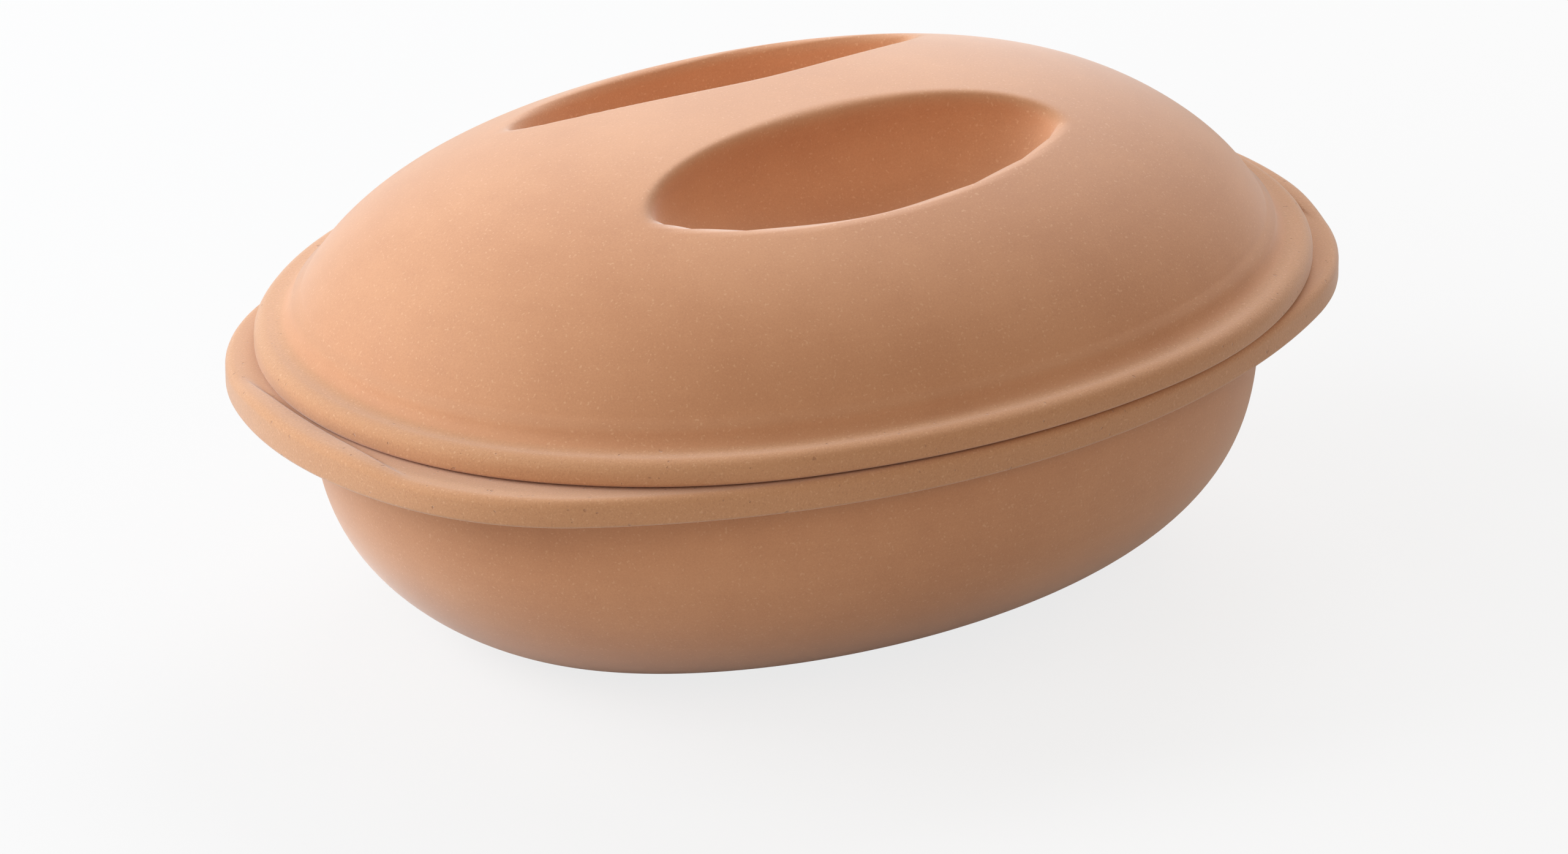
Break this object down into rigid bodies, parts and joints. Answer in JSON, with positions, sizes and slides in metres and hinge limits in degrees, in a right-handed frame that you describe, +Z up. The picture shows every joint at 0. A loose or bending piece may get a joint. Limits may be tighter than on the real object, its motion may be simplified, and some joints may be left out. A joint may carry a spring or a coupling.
{
  "type": "clay roaster",
  "caption": "Oval clay roaster: deep terracotta base with low end grips, and a domed lid with finger recesses beside a handle bar",
  "frame": {"origin": "middle of the flat foot, on the surface that the roaster stands on", "axes": "+X along the length, +Y away from the near finger recess, +Z up"},
  "size_m": [0.335, 0.24, 0.145],
  "materials": {
    "base_clay": "matte",
    "lid_clay": "matte"
  },
  "bodies": {
    "root": {"pot_base": "base_clay", "lid": "lid_clay"}
  },
  "joints": []
}
